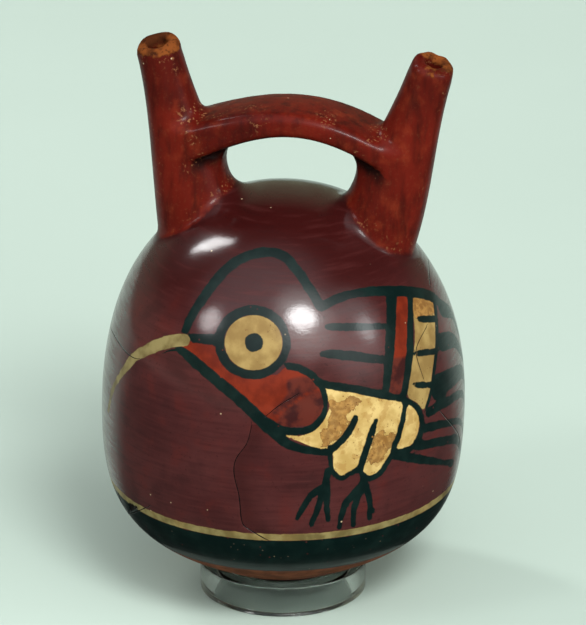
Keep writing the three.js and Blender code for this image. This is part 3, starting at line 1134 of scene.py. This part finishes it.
def build_ring():
    """The display ring, with its edges eased."""
    inner = RING_RADIUS - RING_WALL + RING_EASE
    outer = RING_RADIUS - RING_EASE
    top = RING_HEIGHT - RING_EASE
    corners = [(outer, RING_EASE, -90), (outer, top, 0), (inner, top, 90), (inner, RING_EASE, 180)]
    profile = []
    for radius, height, start in corners:
        for turn in np.radians(np.linspace(start, start + 90, RING_EASE_STEPS)):
            profile.append((radius + RING_EASE * math.cos(turn), height + RING_EASE * math.sin(turn)))
    ring = turned("display_ring", profile, RING_SIDES)
    shade_smooth(ring)
    return ring


def build_floor():
    turns = np.arange(FLOOR_SIDES) * 2 * math.pi / FLOOR_SIDES
    rim = np.stack([np.cos(turns), np.sin(turns), np.zeros(FLOOR_SIDES)], axis=1) * FLOOR_RADIUS
    rim[:, 2] = -FLOOR_DROP
    floor = mesh_object("floor", rim, np.arange(FLOOR_SIDES)[None])
    floor.data.materials.append(matte_material("pale_floor", lambda s: s.noise(160, 21, 3), *FLOOR_COLOURS))


def build_card():
    """A black card on the floor before the object that shows only in its reflections, as a painted dark
    reflection; its sides fade to the floor's colour.
    """
    degrees = np.linspace(*CARD_TURNS, CARD_SIDES)
    turns = np.radians(degrees) + CAMERA_AZIMUTH
    rim = np.stack([np.sin(turns), -np.cos(turns), np.zeros(CARD_SIDES)], axis=1)
    near = np.arange(CARD_SIDES - 1)
    far = near + CARD_SIDES
    faces = np.stack([near, far, far + 1, near + 1], axis=1)
    card = mesh_object("black_card", np.vstack([rim * CARD_FROM, rim * CARD_WIDE]), faces)
    store(card, "margin", np.tile(np.minimum(degrees - CARD_TURNS[0], CARD_TURNS[1] - degrees), 2))
    card.data.materials.append(
        matte_material("black_card", lambda s: s.ramp(s.field("margin"), 0, CARD_FADE), *CARD_COLOURS))
    for ray in ("camera", "diffuse", "shadow", "transmission"):
        setattr(card, "visible_" + ray, False)


def aim_of(lamp):
    return direction(math.radians(lamp["azimuth"]), math.radians(lamp["elevation"]))


def add_lights():
    for name, light in LIGHTS.items():
        data = bpy.data.lights.new(name, "AREA")
        data.shape = "ELLIPSE"
        data.size = 2 * LIGHT_DISTANCE * math.tan(math.radians(light["wide"] / 2)) * MM
        data.size_y = 2 * LIGHT_DISTANCE * math.tan(math.radians(light["tall"] / 2)) * MM
        data.energy = light["power"]
        item = bpy.data.objects.new(name, data)
        towards = aim_of(light)
        item.location = (np.array([0, 0, BODY_WIDEST_Z]) + towards * LIGHT_DISTANCE) * MM
        item.rotation_euler = Vector(-towards).to_track_quat("-Z", "Y").to_euler()
        bpy.context.collection.objects.link(item)


def set_world():
    world = bpy.data.worlds.new("room")
    bpy.context.scene.world = world
    world.use_nodes = True
    w = Nodes(world.node_tree)
    heading = w.node("ShaderNodeTexCoord", {})["Generated"]
    low = w.ramp(w.height(heading), BACKDROP_TOP + BACKDROP_FADE, BACKDROP_TOP - BACKDROP_FADE)
    shade = w.mix(low, ROOM, BACKDROP)
    for glow in GLOWS:
        towards = w.node("ShaderNodeVectorMath", {0: heading, 1: aim_of(glow)}, operation="DOT_PRODUCT")
        edge, full = [math.cos(math.radians(glow[name])) for name in ("edge", "full")]
        shade = w.mix(w.ramp(towards["Value"], edge, full), shade, [*glow["shine"], 1])
    w.feed(world.node_tree.nodes["Background"].inputs["Color"], shade)


def add_camera():
    data = bpy.data.cameras.new("photograph")
    data.sensor_width = SENSOR_WIDTH
    data.lens = FOCAL_PIXELS * SENSOR_WIDTH / max(PHOTO_SIZE)
    data.clip_end = CAMERA_CLIP_END
    item = bpy.data.objects.new("photograph", data)
    item.location = EYE * MM
    item.rotation_euler = Vector(BACK).to_track_quat("Z", "Y").to_euler()
    bpy.context.collection.objects.link(item)
    bpy.context.scene.camera = item


bpy.context.scene.view_settings.view_transform = "Standard"
add_camera()
add_lights()
set_world()
build_floor()
build_card()

pot = build_pot()
wear_shape(pot)
store_fields(pot)
pot.data.materials.clear()
pot.data.materials.append(pot_material())
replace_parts(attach(pot, "root"), "body", "left_spout", "right_spout", "bridge")

ring = build_ring()
ring.data.materials.append(acrylic_material())
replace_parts(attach(ring, "root"), "stand_ring")
